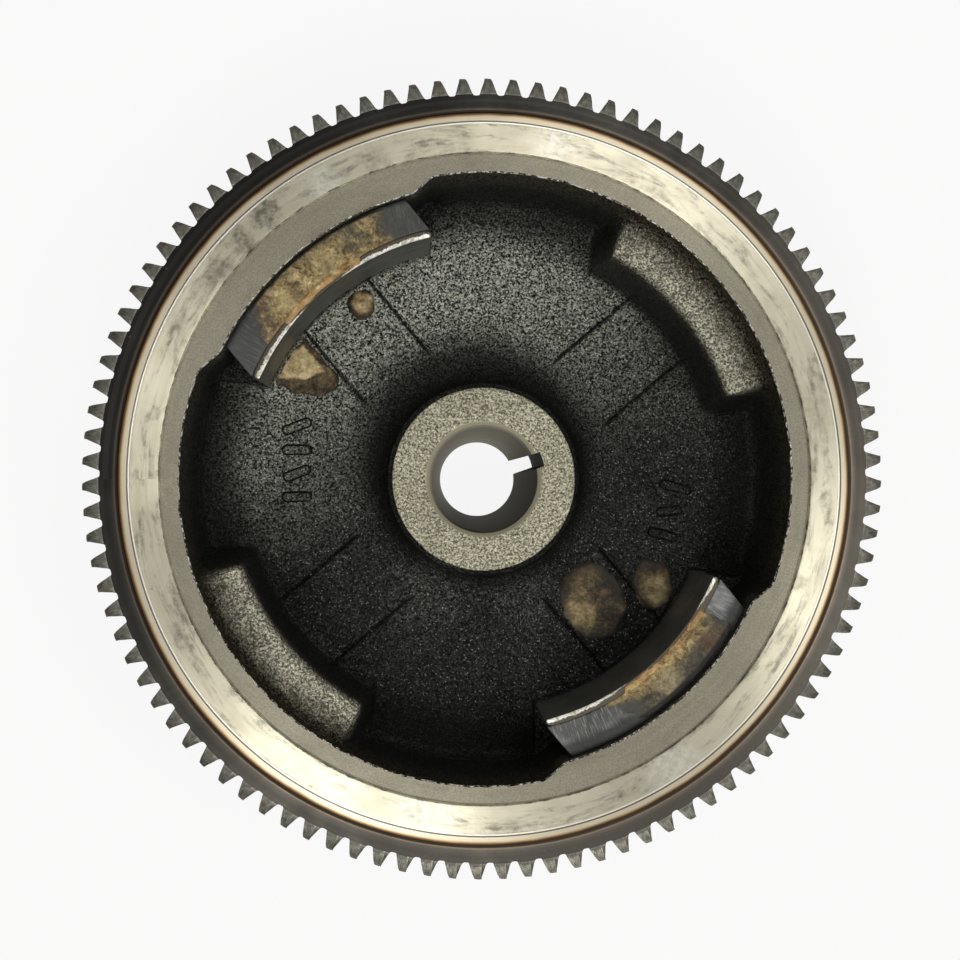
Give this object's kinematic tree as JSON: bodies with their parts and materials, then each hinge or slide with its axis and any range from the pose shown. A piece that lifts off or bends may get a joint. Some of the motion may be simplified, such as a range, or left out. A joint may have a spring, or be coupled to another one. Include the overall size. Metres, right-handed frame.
{
  "type": "small engine flywheel",
  "caption": "Cast-iron flywheel with a starter ring gear, a tapered keyed bore, charging magnets bonded inside the rim and an ignition magnet set in its outside.",
  "frame": {"origin": "centre of the hub's lower end, where the wheel would rest on a bench", "axes": "+Z along the crankshaft axis towards the open side of the wheel, which faces the crankcase; +X at the zero of the angles in the source, with the ignition magnet at -Y"},
  "size_m": [0.2524, 0.2524, 0.069],
  "materials": {
    "cast_iron": "as cast, with turned rim and hub faces",
    "gear_steel": "darkened by heat, bare on the tooth ends",
    "ferrite": "matt sintered ferrite",
    "shoe_steel": "dull sheet steel with a worn edge",
    "adhesive": "cured brown adhesive",
    "laminated_steel": "turned laminations",
    "potting": "matt cast resin",
    "plated_steel": "zinc plated"
  },
  "bodies": {
    "root": {"flywheel_casting": "cast_iron", "ring_gear": "gear_steel", "charging_magnet_a": "ferrite", "charging_magnet_b": "ferrite", "charging_pole_shoe_a": "shoe_steel", "charging_pole_shoe_b": "shoe_steel", "magnet_bond_a": "adhesive", "magnet_bond_b": "adhesive", "adhesive_smear_a": "adhesive", "adhesive_smear_b": "adhesive", "ignition_magnet": "ferrite", "ignition_pole_shoe_left": "laminated_steel", "ignition_pole_shoe_right": "laminated_steel", "ignition_potting": "potting", "pole_shoe_screw_left": "plated_steel", "pole_shoe_screw_right": "plated_steel"}
  },
  "joints": []
}
